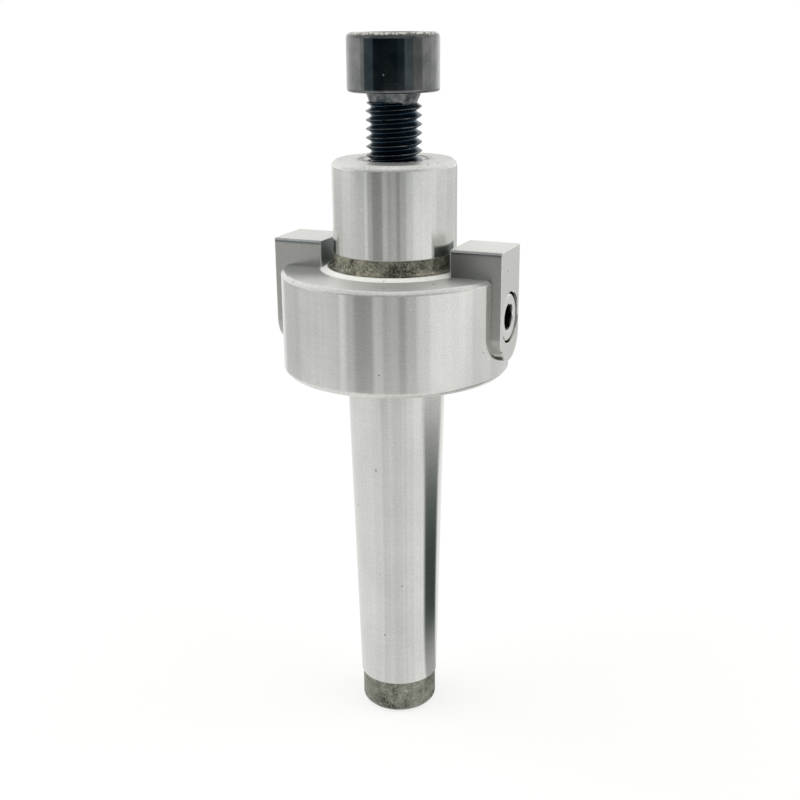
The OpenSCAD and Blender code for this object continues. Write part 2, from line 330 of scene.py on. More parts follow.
def blackOxide(name, look):
    # a thin black skin on bright steel, worn through in spots and most of all along an edge:
    # the edge is a band of heights, outside of a radius
    material, graph = newMaterial(name)
    cloud, speck, spots, rub = (
        graph.noise(*look[kind]) for kind in ("cloud", "speck", "spots", "rub")
    )
    colour = graph.blend(cloud.ease(*look["mottle"]), look["dark"], look["light"])
    edge = 1.0 - (graph.along("Z") - look["wornEdge"]).size().ease(*look["wornBand"])
    edge = edge * graph.reach().ease(*look["wornRadius"])
    rubbed = (rub + edge * look["gather"]).ease(*look["rubEdge"]) * edge * look["rubShade"]
    wear = (spots.ease(*look["spotEdge"]) * look["spotShade"]).orMore(rubbed)
    colour = graph.blend(wear, colour, look["bare"])
    height = speck * look["speckHeight"] + cloud - wear
    graph.metal({
        "Base Color": colour, "Metallic": 1.0, "Normal": graph.bump(height, look["depth"]),
        "Roughness": (cloud - 0.5) * look["roughSpread"] + look["rough"] + wear * look["wearRough"],
        "Coat Weight": look["coat"], "Coat Roughness": look["coatRough"],
    })
    return material


black = {
    "cloud": (350, 4.0, 0.6), "speck": (3200, 2.0, 0.6), "spots": (1500, 2.0, 0.5),
    "rub": (1300, 3.0, 0.65), "gather": 0.2, "rubEdge": (0.66, 0.72), "rubShade": 0.85,
    "spotEdge": (0.73, 0.76), "spotShade": 0.6, "bare": (0.72, 0.71, 0.64, 1),
    "dark": (0.11, 0.12, 0.12, 1), "light": (0.20, 0.20, 0.195, 1), "mottle": (0.2, 0.8),
    "wornEdge": 0.12766, "wornBand": (0.0001, 0.0005), "wornRadius": (0.0069, 0.0073),
    "rough": 0.1, "roughSpread": 0.06, "wearRough": 0.25, "speckHeight": 0.3, "depth": 3e-6,
    "coat": 0.1, "coatRough": 0.08,
}
blackFinish = blackOxide("blackOxide", black)
threadFinish = blackOxide("oiledThread", {
    **black, "dark": (0.011, 0.031, 0.053, 1), "light": (0.045, 0.069, 0.087, 1), "rough": 0.24,
    "wornEdge": 1.0,
})
collarFinish = blackOxide("oiledCollar", {
    **black, "dark": (0.045, 0.055, 0.060, 1), "light": (0.19, 0.20, 0.20, 1), "rough": 0.26,
    "mottle": (0.34, 0.66), "cloud": (700, 4.0, 0.6),
    "wornEdge": 0.11798, "wornRadius": (0.0040, 0.0044), "wornBand": (0.00001, 0.00012),
})
print("materials made")


# surfaces


def ringFaces(rows, columns, closed=False):
    # quads between neighbouring rows of a grid whose columns run round and close on themselves;
    # closed also joins the last row to the first
    down = np.arange(rows if closed else rows - 1)[:, None]
    along = np.arange(columns)[None, :]
    nextDown, nextAlong = (down + 1) % rows, (along + 1) % columns
    corners = (down * columns + along, down * columns + nextAlong,
               nextDown * columns + nextAlong, nextDown * columns + along)
    return np.stack(np.broadcast_arrays(*corners), axis=-1).reshape(-1, 4)


def capFaces(ring, centre, upward):
    # a fan of triangles from one centre point to a ring of points
    onward = np.roll(ring, -1)
    fan = np.stack([ring, onward, np.full_like(ring, centre)], axis=-1)
    return fan if upward else fan[:, ::-1]


def turnOf(columns):  # the angle of each of the points round an axis
    return np.arange(columns) / columns * fullTurn


def ringPoints(angle, rings):  # points of rings that are given by a radius and a height each
    return np.concatenate([
        np.stack([r * np.cos(angle), r * np.sin(angle), np.full_like(angle, z)], -1)
        for r, z in rings
    ])


corner = {"steps": 5, "most": 0.45, "hold": 0.04, "holdShare": 0.04}


def softCorners(outline, c):
    # an outline of (radius, height, rounding) points with each corner turned into an arc: the
    # arc's ends lie on both sides, never past the most of a side's length, and the points
    # between follow the quadratic curve through the corner; a point just past each end holds
    # the straight part's own direction
    points = []
    for k, (radius, height, rounding) in enumerate(outline):
        here = np.array((radius, height), float)
        if rounding == 0 or k in (0, len(outline) - 1):
            points.append(here)
            continue
        back, on = (np.array(outline[k + d][:2], float) - here for d in (-1, 1))
        backLong, onLong = np.linalg.norm(back), np.linalg.norm(on)
        backWay, onWay = back / backLong, on / onLong
        start = here + backWay * min(rounding, backLong * c["most"])
        end = here + onWay * min(rounding, onLong * c["most"])
        share = np.linspace(0, 1, c["steps"] + 1)[:, None]
        points.append(start + backWay * min(c["hold"], backLong * c["holdShare"]))
        points.extend((1 - share) ** 2 * start + 2 * share * (1 - share) * here + share ** 2 * end)
        points.append(end + onWay * min(c["hold"], onLong * c["holdShare"]))
    return np.array(points)


def boxOf(node):  # a CAD piece's lowest and highest corner in millimetres
    return (np.array(end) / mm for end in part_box(node))


def addObject(name, data):
    made = bpy.data.objects.new(name, data)
    bpy.context.scene.collection.objects.link(made)
    return made


def smooth(mesh, sharpAngle):
    mesh.shade_smooth()
    mesh.set_sharp_from_angle(angle=math.radians(sharpAngle))


def makeMesh(name, points, faceSets, sharpAngle=35):
    mesh = bpy.data.meshes.new(name)
    faces = [tuple(face) for group in faceSets for face in group.tolist()]
    mesh.from_pydata((points * mm).tolist(), [], faces)
    mesh.validate()
    mesh.update()
    smooth(mesh, sharpAngle)
    return addObject(name, mesh)


def faceValues(piece, kind):  # X, Y and Z of each face's "center" or "normal"
    faces = piece.data.polygons
    values = np.empty(len(faces) * 3)
    faces.foreach_get(kind, values)
    return values.reshape(-1, 3).T


def numbersOf(finishes):  # each finish's number on its piece
    return {name: k for k, name in enumerate(finishes)}


def paint(piece, finish):  # gives each face the finish with its number
    piece.data.polygons.foreach_set("material_index", finish.astype(np.int32))


def finishPiece(piece, finishes, body, slot, *nodes):
    for material in finishes.values():
        piece.data.materials.append(material)
    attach(piece, body)
    if nodes:
        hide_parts(*nodes)
    print(piece.name, "has", sum(len(f.vertices) - 2 for f in piece.data.polygons), "triangles")


# arbor body

_, bodyHigh = boxOf("arbor_body")
keyLow, keyHigh = boxOf("drive_key_right")
arbor = {
    "pilotTop": bodyHigh[2], "pilotLength": 19.2, "pilotRadius": 11.0, "pilotBevel": 0.8,
    "flangeRadius": bodyHigh[1], "flangeHeight": 18.5, "lowBevel": 0.8, "topBevel": 0.6,
    "gaugeRadius": 8.89, "gaugeHeight": 64.0, "taperHalf": 0.024975,
    "reliefHeight": 6.4, "reliefStep": 0.3, "reliefSlope": 0.12, "footBevel": 0.8,
    "neckHeight": 3.1, "neckRadius": 10.88, "neckFlare": 0.1, "neckFillet": 1.2, "neckLip": 0.08,
    "ringHeight": 0.5, "ringWidth": 1.2, "ringLip": 0.15,
    "boreRadius": 5.0, "clampDepth": 30.0, "mouthBevel": 0.5, "drawbarDepth": 28.0,
    "drawbarMouth": 5.65, "drillSlope": 0.6,
}
slot = {"gap": 0.02, "corner": 0.05, "above": 1.0, "past": 4.0}
arborFinishes = {
    "ground": groundFinish, "turned": turnedFinish, "neck": neckFinish, "foot": footFinish,
    "ring": ringHighlightFinish, "face": faceFinish, "edge": edgeFinish, "bore": boreShading,
}


def taperRadius(height):  # half the gauge diameter, changed by half the taper for each height
    return arbor["gaugeRadius"] + (height - arbor["gaugeHeight"]) * arbor["taperHalf"]


def arborProfile(a):
    # radius, height and rounding of each corner, from the drawbar's hole round to the clamp's
    top, face = a["pilotTop"], a["pilotTop"] - a["pilotLength"]
    under = face - a["flangeHeight"]
    relief = taperRadius(a["reliefHeight"]) - a["reliefStep"]
    neckFoot = a["neckRadius"] + a["neckFlare"]
    ringIn = neckFoot + a["neckFillet"]
    point = a["boreRadius"] * a["drillSlope"]
    return softCorners([
        (0, a["drawbarDepth"] + point, 0),
        (a["boreRadius"], a["drawbarDepth"], 0),
        (a["boreRadius"], (a["drawbarMouth"] - a["boreRadius"]) * math.sqrt(3), 0.1),
        (a["drawbarMouth"], 0, 0.12),
        (relief - a["footBevel"], 0, 0.25),
        (relief, a["footBevel"], 0.35),
        (relief, a["reliefHeight"], 0.08),
        (taperRadius(a["reliefHeight"]), a["reliefHeight"] + a["reliefSlope"], 0.12),
        (taperRadius(under), under, 0.25),
        (a["flangeRadius"] - a["lowBevel"], under, 0.2),
        (a["flangeRadius"], under + a["lowBevel"], 0.25),
        (a["flangeRadius"], face - a["topBevel"], 0.2),
        (a["flangeRadius"] - a["topBevel"], face, 0.2),
        (ringIn + a["ringWidth"], face, 0.5),
        (ringIn, face + a["ringHeight"], 0.12),
        (neckFoot, face + a["ringHeight"] + a["ringLip"], 1.15),
        (a["neckRadius"], face + a["neckHeight"], 0.03),
        (a["pilotRadius"], face + a["neckHeight"] + a["neckLip"], 0.08),
        (a["pilotRadius"], top - a["pilotBevel"], 0.25),
        (a["pilotRadius"] - a["pilotBevel"], top, 0.25),
        (a["boreRadius"] + a["mouthBevel"], top, 0.12),
        (a["boreRadius"], top - a["mouthBevel"], 0.1),
        (a["boreRadius"], top - a["clampDepth"], 0),
        (0, top - a["clampDepth"] - point, 0),
    ], corner)


def keyOutline(angle, centre, low, top, half, rounding, inset=0.0):
    # distance from the screw's axis to the outline of a key along each ray: the outline is where
    # the distance to a box with a full-round lower end is zero, found by halving the ray
    near, far, halvings = np.zeros_like(angle), np.full_like(angle, 40.0), 40
    roundTop = low + half
    for _ in range(halvings):
        middle = (near + far) / 2
        y, z = middle * np.cos(angle), centre + middle * np.sin(angle)
        pastY, pastZ = np.abs(y) - (half - rounding), z - (top - rounding)
        box = np.hypot(np.maximum(pastY, 0), np.maximum(pastZ, 0))
        box = box + np.minimum(np.maximum(pastY, pastZ), 0) - rounding
        depth = np.where(z < roundTop, np.hypot(y, z - roundTop) - half, box) + inset
        near, far = np.where(depth < 0, middle, near), np.where(depth < 0, far, middle)
    return (near + far) / 2


def slotCutter(side, s):
    # a prism of the slot's outline from the slot's floor to past the flange's rim
    angle, n = turnOf(aroundSlot), aroundSlot
    centre = (keyLow[2] + keyHigh[2]) / 2
    low, top, half = keyLow[2] - s["gap"], keyHigh[2] + s["above"], keyHigh[1] + s["gap"]
    reach = keyOutline(angle, centre, low, top, half, s["corner"])
    y, z = reach * np.cos(angle), centre + reach * np.sin(angle)
    ends = (keyLow[0], arbor["flangeRadius"] + s["past"])
    rows = [np.stack([np.full_like(y, x), y, z], -1) for x in ends]
    middles = [np.array([[x, 0, centre]]) for x in ends]
    points = np.concatenate(rows + middles) * (side, side, 1)
    first, last = np.arange(n), np.arange(n, 2 * n)
    faces = [ringFaces(2, n), capFaces(first, 2 * n, False), capFaces(last, 2 * n + 1, True)]
    return makeMesh("slotCutter", points, faces)


def cutAway(piece, cutter):
    step = piece.modifiers.new("cut", "BOOLEAN")
    step.operation, step.solver, step.object = "DIFFERENCE", "EXACT", cutter
    bpy.context.view_layer.objects.active = piece
    with bpy.context.temp_override(object=piece, active_object=piece, selected_objects=[piece]):
        bpy.ops.object.modifier_apply(modifier=step.name)
    bpy.data.objects.remove(cutter)


def buildArbor(a):
    profile = arborProfile(a)
    inner, n = profile[1:-1], around
    rings = ringPoints(turnOf(n), inner)
    points = np.concatenate([rings, [[0, 0, profile[0, 1]], [0, 0, profile[-1, 1]]]])
    rows, first = len(inner), np.arange(n)
    last = first + (rows - 1) * n
    faces = [
        ringFaces(rows, n), capFaces(first, rows * n, False), capFaces(last, rows * n + 1, True),
    ]
    piece = makeMesh("arbor", points, faces)
    for side in (1, -1):
        cutAway(piece, slotCutter(side, slot))
    smooth(piece.data, 35)
    return piece


def paintArbor(piece, a):
    # each face takes its finish from the radius and height of its centre and from how far it
    # looks up or down, and a later line goes over an earlier one
    number = numbersOf(arborFinishes)
    x, y, z = faceValues(piece, "center") / mm
    radius, up = np.hypot(x, y), np.abs(faceValues(piece, "normal")[2])
    upright, slanted, level = up <= 0.04, up > 0.3, up > 0.96
    face = a["pilotTop"] - a["pilotLength"]
    neckReach = a["neckRadius"] + a["neckFlare"] + a["neckFillet"] + 0.05
    finish = np.full(len(z), number["ground"])
    finish[slanted] = number["turned"]
    finish[level & (np.abs(z - face) < 0.1)] = number["face"]
    finish[~upright & (up < 0.96) & (z > a["reliefHeight"] + 1)] = number["edge"]
    neck = (z > face + 0.45) & (z < face + a["neckHeight"]) & (radius < neckReach)
    finish[neck] = number["neck"]
    finish[(z < a["reliefHeight"] + 0.06) & (radius > a["boreRadius"] - 1)] = number["foot"]
    # the ring's slope takes the near-white painted highlight
    ringSlope = (z > face + 0.03) & (z < face + a["ringHeight"]) & slanted
    finish[ringSlope & (radius < a["neckRadius"] + 4)] = number["ring"]
    finish[radius < a["boreRadius"] + 0.01] = number["bore"]
    paint(piece, finish)


arborPiece = buildArbor(arbor)
finishPiece(arborPiece, arborFinishes, "arbor", "ground_steel", "arbor_body")
paintArbor(arborPiece, arbor)


# thread in the drawbar's hole

drawbarThread = {
    "pitch": 1.5, "from": 1.2, "to": 24.0, "crest": 4.25, "steps": 96, "base": 0.4675, "tip": 0.09,
    "inWall": 0.03, "fadeTurns": 0.75, "fadeLeast": 0.02,
}


def buildDrawbarThread(t):
    # a ridge, wide at its foot and narrow at its crest, that climbs the bore's wall along a
    # helix and fades at both ends, over a share of a turn
    turns = (t["to"] - t["from"]) / t["pitch"]
    count = int(turns * t["steps"]) + 1
    along = np.arange(count)
    angle, height = along / t["steps"] * fullTurn, t["from"] + along / t["steps"] * t["pitch"]
    nearest = np.minimum(along, count - 1 - along)
    fade = np.clip(nearest / (t["steps"] * t["fadeTurns"]), t["fadeLeast"], 1)
    wall = arbor["boreRadius"] + t["inWall"]
    crest = wall + (t["crest"] - wall) * fade
    base, tip = t["base"] * t["pitch"] * fade, t["tip"] * fade
    foot = np.full(count, wall)
    points = np.stack([
        np.stack([r * np.cos(angle), r * np.sin(angle), height + rise], -1)
        for r, rise in ((foot, -base), (foot, base), (crest, tip), (crest, -tip))
    ], 1).reshape(-1, 3)
    ends = np.array([[3, 2, 1, 0]]), np.array([[0, 1, 2, 3]]) + (count - 1) * 4
    return makeMesh("drawbar_thread", points, [ringFaces(count, 4), *ends])


threadPiece = buildDrawbarThread(drawbarThread)
finishPiece(threadPiece, {"bore": boreShading}, "arbor", "ground_steel")


# drive keys

screwLow, screwHigh = boxOf("key_screw_right")
key = {
    "inner": keyLow[0], "outer": keyHigh[0], "low": keyLow[2], "top": keyHigh[2],
    "half": keyHigh[1], "edge": 0.16, "corner": 0.14, "steps": 5, "hold": 0.05,
    "screwHeight": (screwLow[2] + screwHigh[2]) / 2, "hole": 2.75, "holeBevel": 0.15,
    "counterbore": (screwHigh[2] - screwLow[2]) / 2 + 0.25, "boreBevel": 0.12,
    "seat": screwHigh[0] - 5.0,
}
keyFinishes = {
    "flat": keyFinish, "side": keySideShaded, "edge": edgeFinish, "inner": keyInnerShaded,
}


def buildKey(name, side, k):
    # a closed profile of circles and inset outlines, carried round the screw's axis
    angle = turnOf(aroundKey)
    e, hold, inner, outer = k["edge"], k["hold"], k["inner"], k["outer"]

    def outline(inset):
        return keyOutline(angle, k["screwHeight"], k["low"], k["top"], k["half"], k["corner"], inset)

    def circle(radius):
        return np.full_like(angle, radius)

    turn = np.linspace(0, math.pi / 2, k["steps"])
    rows = [(inner + k["holeBevel"], circle(k["hole"])), (inner, circle(k["hole"] + k["holeBevel"]))]
    rows += [(inner, outline(e + hold))]
    rows += [(inner + e * (1 - math.cos(a)), outline(e * (1 - math.sin(a)))) for a in turn]
    rows += [(inner + e + hold, outline(0)), (outer - e - hold, outline(0))]
    rows += [(outer - e * (1 - math.sin(a)), outline(e * (1 - math.cos(a)))) for a in turn]
    rows += [(outer, outline(e + hold)), (outer, circle(k["counterbore"] + k["boreBevel"]))]
    rows += [(outer - k["boreBevel"], circle(k["counterbore"]))]
    rows += [(k["seat"], circle(k["counterbore"])), (k["seat"], circle(k["hole"]))]
    points = np.concatenate([
        np.stack([circle(x), r * np.cos(angle), k["screwHeight"] + r * np.sin(angle)], -1)
        for x, r in rows
    ]) * (side, side, 1)
    return makeMesh(name, points, [ringFaces(len(rows), aroundKey, closed=True)], 30)


def paintKey(piece, side, k):
    # the faces that look along Y get the key's steel made darker as painted shade, the faces towards
    # the axis a darker teal as a painted reflection of the pilot's shade, and the rounded edges are
    # worn bright
    number = numbersOf(keyFinishes)
    (nx, ny, nz), (_, y, z) = faceValues(piece, "normal"), faceValues(piece, "center") / mm
    finish = np.where(np.abs(ny) > 0.8, number["side"], number["flat"])
    finish[nx * side < -0.8] = number["inner"]
    clear = np.hypot(y, z - k["screwHeight"]) > k["counterbore"] + 0.2
    rim = (np.abs(nx) > 0.1) & (np.abs(nx) < 0.99) & clear
    ridge = (z > k["top"] - 0.25) & (np.abs(ny) > 0.1) & (np.abs(nz) > 0.1)
    finish[rim | ridge] = number["edge"]
    paint(piece, finish)


for side, word in ((1, "right"), (-1, "left")):
    piece = buildKey("drive_key_" + word + "_ground", side, key)
    finishPiece(piece, keyFinishes, "arbor", "key_steel", "drive_key_" + word)
    paintKey(piece, side, key)


# socket head screws

head = {  # roundings of a head's edges and the mouth of its socket, as depths and widths
    "lowSteps": 5, "highSteps": 8, "hold": 0.05, "mouthPast": 0.06, "mouthBevel": 0.12,
    "mouthIn": 0.05, "mouthDepth": 0.16, "mouthSteps": (0.1, 0.2, 0.3), "mouthSlope": 1.5,
    "hexFrom": 0.7, "floorShare": 0.9, "floorDrop": 0.12,
}


def hexReach(angle, flats):
    # distance from the axis to a hexagon's side along each ray
    sixth = fullTurn / 6
    return flats / 2 / np.cos((angle + sixth / 2) % sixth - sixth / 2)


def headRows(angle, s, h):
    # rings of a screw head from its outer foot up, over the top and down into the hex socket
    foot, top, radius, hold = s["foot"] + s["seatGap"], s["top"], s["headRadius"], h["hold"]
    low, high = s["footRound"], s["topRound"]
    lower = np.linspace(0, math.pi / 2, h["lowSteps"])
    upper = np.linspace(0, math.pi / 2, h["highSteps"])
    rows = [(radius - low - hold, foot)]
    rows += [(radius - low * (1 - math.sin(a)), foot + low * (1 - math.cos(a))) for a in lower]
    rows += [(radius, foot + low + hold), (radius, top - high - hold)]
    rows += [(radius - high * (1 - math.cos(a)), top - high * (1 - math.sin(a))) for a in upper]
    rows += [(radius - high - hold, top)]
    hexagon = hexReach(angle, s["flats"])
    mouth = s["flats"] / math.sqrt(3) + h["mouthPast"]
    rows += [(mouth + h["mouthBevel"], top)]
    rings = [(np.full_like(angle, r), z) for r, z in rows]
    rings += [
        (np.maximum(hexagon, mouth - h["mouthIn"] - d * h["mouthSlope"]), top - h["mouthDepth"] - d)
        for d in (0, *h["mouthSteps"])
    ]
    rings += [(hexagon, top - h["hexFrom"]), (hexagon, top - s["socket"])]
    return rings + [(hexagon * h["floorShare"], top - s["socket"] - h["floorDrop"])]


keyScrew = {
    "headRadius": (screwHigh[2] - screwLow[2]) / 2, "foot": 0.0, "top": 5.0, "footRound": 0.15,
    "topRound": 0.45, "flats": 4.0, "socket": 2.5, "shank": 2.5, "tipBevel": 0.5, "cone": 0.6,
    "tip": screwLow[0], "headTop": screwHigh[0], "seatGap": 0.0,
}
keyScrewFinishes = {"head": screwFinish, "socket": socketShading}


def buildKeyScrew(name, side, s):
    angle, n = turnOf(aroundScrew), aroundScrew
    length = s["headTop"] - s["top"] - s["tip"]
    bevel = s["tipBevel"]
    shank = [(s["shank"] - bevel, -length), (s["shank"], -length + bevel), (s["shank"], 0.0)]
    rings = [(np.full_like(angle, r), z) for r, z in shank] + headRows(angle, s, head)
    ends = [[0, 0, -length], [0, 0, s["top"] - s["socket"] - s["cone"]]]
    points = np.concatenate([ringPoints(angle, rings), ends])
    first, count = np.arange(n), len(points)
    last = first + (len(rings) - 1) * n
    faces = [
        ringFaces(len(rings), n), capFaces(first, count - 2, False), capFaces(last, count - 1, True),
    ]
    # Z of the turned screw becomes the key's outward direction
    x, y, z = points.T
    placed = np.stack([z + s["headTop"] - s["top"], y, -x + key["screwHeight"]], -1)
    return makeMesh(name, placed * (side, side, 1), faces, 30)


def paintKeyScrew(piece, s):
    # faces close to the screw's axis and under its top are the socket's own, in painted shade
    x, y, z = faceValues(piece, "center") / mm
    near = np.hypot(y, z - key["screwHeight"]) < s["flats"] / 2 + 0.45
    under = (np.abs(x) < s["headTop"] - 0.15) & (np.abs(x) > s["headTop"] - 8)
    paint(piece, near & under)


for side, word in ((1, "right"), (-1, "left")):
    piece = buildKeyScrew("key_screw_" + word + "_plated", side, keyScrew)
    finishPiece(piece, keyScrewFinishes, "arbor", "screw_steel", "key_screw_" + word)
    paintKeyScrew(piece, keyScrew)


# clamp screw

clampLow, clampHigh = boxOf("clamp_screw")
clamp = {
    "headRadius": clampHigh[1], "tip": clampLow[2], "foot": clampLow[2] + 25.0,
    "top": clampHigh[2], "footRound": 0.5, "topRound": 1.0, "flats": 8.0, "socket": 5.2,
    "cone": 1.2, "hexTurn": 12, "pitch": 1.5, "crest": 4.875, "depth": 0.92, "start": 0.375,
    "turn": 313.0, "turns": 15, "tipRadius": 3.6, "tipBevel": 0.3, "threadEnd": 1.95, "fade": 0.45,
    "neckRadius": 4.3, "flare": 4.85, "neck": 1.5, "flarePower": 1.2, "neckRings": 6,
    "neckFrom": 0.06, "neckTo": 0.05, "neckOut": 0.3, "seatGap": 0.03,
}
threadForm = np.array([  # places along one pitch and shares of the thread's full depth
    (0.0, 0.05), (0.04, 0.0), (0.125, 0.0), (0.165, 0.05), (0.25, 0.24), (0.35, 0.50),
    (0.45, 0.76), (0.51, 0.93), (0.545, 1.0), (0.62, 1.0), (0.655, 0.93), (0.715, 0.76),
    (0.815, 0.50), (0.915, 0.24),
])
clampFinishes = {
    "head": blackFinish, "thread": threadFinish, "socket": socketShading, "collar": collarFinish,
}


def neckReach(c, height):
    # radius of the plain neck: constant, then growing with a power of the share of its height
    share = np.clip((height - c["foot"] + c["neck"]) / c["neck"], 0, 1)
    return c["neckRadius"] + (c["flare"] - c["neckRadius"]) * share ** c["flarePower"]


def buildClampScrew(c):
    # the thread is one strip, a pitch high, wound along the helix: point (i, j) lies at step i
    # round the axis and place j of the thread's form, and the strip's top edge is its own
    # bottom edge one turn later
    n, form = aroundScrew, len(threadForm)
    steps = c["turns"] * n
    i = np.arange(steps + n + 1)[:, None]
    place, share = threadForm[:, 0][None, :], threadForm[:, 1][None, :]
    root = c["crest"] - c["depth"]
    height = c["tip"] + c["start"] + c["pitch"] * (i / n + place)
    radius = root + c["depth"] * share * np.clip(i / n, 0, 1)
    out = np.clip((height - c["foot"] + c["threadEnd"]) / c["fade"], 0, 1)
    radius = radius + (neckReach(c, height) - radius) * out * out * (3 - 2 * out)
    angle = i / n * fullTurn + math.radians(c["turn"])
    strip = np.stack(np.broadcast_arrays(radius * np.cos(angle), radius * np.sin(angle), height), -1)
    strip = strip.reshape(-1, 3)

    def index(i, j):
        return np.where(j < form, i * form + j, (i + n) * form)

    i, j = np.arange(steps)[:, None], np.arange(form)[None, :]
    wound = np.stack([index(i, j), index(i + 1, j), index(i + 1, j + 1), index(i, j + 1)], -1)

    # rings of the tip below the strip, and of neck and head above it
    ringAngle = turnOf(n) + math.radians(c["turn"])
    tip = [(c["tipRadius"], c["tip"]), (root, c["tip"] + c["tipBevel"])]
    tipRings = ringPoints(ringAngle, [(np.full(n, r), z) for r, z in tip])
    stripTop = c["tip"] + c["start"] + c["pitch"] * (c["turns"] + 1)
    heights = np.linspace(stripTop + c["neckFrom"], c["foot"] - c["neckTo"], c["neckRings"])
    neckShape = [(neckReach(c, z), z) for z in heights]
    neckShape += [(c["flare"] + c["neckOut"], c["foot"] + c["seatGap"])]
    hexAngle = turnOf(n) + math.radians(c["hexTurn"])
    upper = [(np.full(n, r), z) for r, z in neckShape] + headRows(hexAngle, c, head)
    upperRings = ringPoints(ringAngle, upper)
    tipAt, upperAt = len(strip), len(strip) + len(tipRings)
    centres = np.array([[0, 0, c["tip"]], [0, 0, c["top"] - c["socket"] - c["cone"]]])
    points = np.concatenate([strip, tipRings, upperRings, centres])

    # skirts join the strip's edges to the rings, with a fan over the step at each seam
    k = np.arange(n - 1)
    tipTop = tipAt + n
    tipSkirt = np.stack([tipTop + k, tipTop + k + 1, index(k + 1, 0), index(k, 0)], -1)
    tipChain = np.array([tipTop, *[int(index(0, j)) for j in range(form + 1)]])
    pivot = int(index(n - 1, 0))
    tipFan = np.stack([tipChain[:-1], tipChain[1:], np.full(form + 1, pivot)], -1)
    tipFirst = np.array([[tipTop + n - 1, tipTop, pivot]])
    k = np.arange(1, n)
    around0, around1 = upperAt + k, upperAt + (k + 1) % n
    topSkirt = np.stack([index(steps + k, 0), index(steps + k + 1, 0), around1, around0], -1)
    topChain = np.array([*[int(index(steps, j)) for j in range(form + 1)], upperAt])
    pivot = int(index(steps + 1, 0))
    topFan = np.stack([topChain[1:], topChain[:-1], np.full(form + 1, pivot)], -1)
    topFirst = np.array([[upperAt, pivot, upperAt + 1]])
    rows, count = len(upper), len(points)
    faces = [
        wound.reshape(-1, 4), tipSkirt, tipFan, tipFirst, topSkirt, topFan, topFirst,
        ringFaces(2, n) + tipAt, capFaces(tipAt + np.arange(n), count - 2, False),
        ringFaces(rows, n) + upperAt,
        capFaces(upperAt + (rows - 1) * n + np.arange(n), count - 1, True),
    ]
    return makeMesh("clamp_screw_black", points, faces, 40)


def paintClamp(piece, c):
    # the thread's flanks and roots are oily and dark, its crests are rubbed like the collar,
    # and the socket is in shade
    number = numbersOf(clampFinishes)
    x, y, z = faceValues(piece, "center") / mm
    radius = np.hypot(x, y)
    below, threaded = z < c["foot"] + 0.01, z < c["foot"] - c["threadEnd"] + 0.3
    inHead = (z > c["foot"] + 1) & (z < c["top"] - 0.4)
    finish = np.full(len(z), number["head"])
    finish[below & (radius < c["flare"] + 0.1)] = number["collar"]
    finish[threaded & (radius < c["crest"] - 0.1)] = number["thread"]
    finish[inHead & (radius < c["flats"] / 2 + 0.5)] = number["socket"]
    paint(piece, finish)


clampPiece = buildClampScrew(clamp)
finishPiece(clampPiece, clampFinishes, "clamp", "black_steel", "clamp_screw")
paintClamp(clampPiece, clamp)


# floor, light and camera

view = {  # the camera's place and turn, fitted to the photograph, in millimetres and pixels
    "distance": 207.52, "height": 130.17, "side": math.radians(23.24),
    "swing": math.radians(-0.17), "down": math.radians(18.10), "roll": math.radians(-0.54),
    "focal": 1172.48, "picture": 800, "sensor": 36.0, "clip": (0.01, 50),
}
studio = {  # start, end and brightness of panels, by degrees from the camera's side to the right
    "table": [
        (-180, -150, 0.92), (-150, -112, 0.68), (-112, -57, 0.77), (-57, -51, 0.94),
        (-51, -42, 0.60), (-42, -23, 0.39), (-23, -13, 0.70), (-13, -8, 0.50), (-8, 3, 0.62),
        (3, 9, 0.41), (9, 20, 0.61), (20, 34, 0.85), (34, 80, 1.07), (80, 110, 0.88),
        (110, 152, 0.78), (152, 180, 0.60),
    ],
    "room": [
        (-180, -160, 0.85), (-160, -88, 1.1), (-88, -76, 0.75), (-76, -51, 0.21),
        (-51, 10, 0.025), (10, 28, 0.06), (28, 33, 0.30), (33, 50, 0.26), (50, 75, 0.43),
        (75, 106, 0.92), (106, 130, 1.1), (130, 160, 1.35), (160, 180, 0.85),
    ],
    "ceiling": [
        (-180, -110, 0.95), (-110, -60, 0.65), (-60, 60, 0.40), (60, 110, 0.70), (110, 180, 0.98),
    ],
    "floor": [
        (-180, -60, 0.94), (-60, -38, 0.89), (-38, -21, 0.80), (-21, -12, 0.85), (-12, 9, 0.79),
        (9, 22, 0.84), (22, 40, 0.88), (40, 62, 0.97), (62, 180, 1.02),
    ],
    "roomFrom": (-5.6, -4.2), "ceilingFrom": (3, 15), "overheadFrom": (66, 87), "overhead": 1.2,
    "softEdge": 1.0, "streaks": 100, "streakDetail": 2.0, "streakRough": 0.6, "streakDepth": 0.4,
    "tintBelow": 0.45, "roomTint": (0.45, 1.0, 1.4, 1), "floorTint": (0.8, 1.0, 0.92, 1),
    "white": 1.0, "fill": 0.8,
}
paleSheet = {  # the floor: its paper, and a dark flag that lies on it to the right
    "half": 6, "low": -5e-5, "paper": grey(0.82), "paperEnd": (0.17, 0.27),
    "whiteFrom": (0.02, 0.3), "whiteNear": 0.75,
    "flagTurn": 0.5 + 98 / 360, "flagHalf": (0.055, 0.09), "flagReach": (0.07, 0.27),
    "flagDark": 0.93, "flagFoot": (0.015, 0.045), "flagNear": 0.55,
    "flagSpread": (0.10, 0.19), "flagWiden": 0.03,
}
lamps = {  # azimuth and elevation in degrees, size in metres, power in watts
    "keyLight": (-95, 42, 0.9, 5.0), "fillLight": (80, 38, 0.9, 4.0),
}
lampReach, lampAim = 0.9, Vector((0, 0, 0.06))


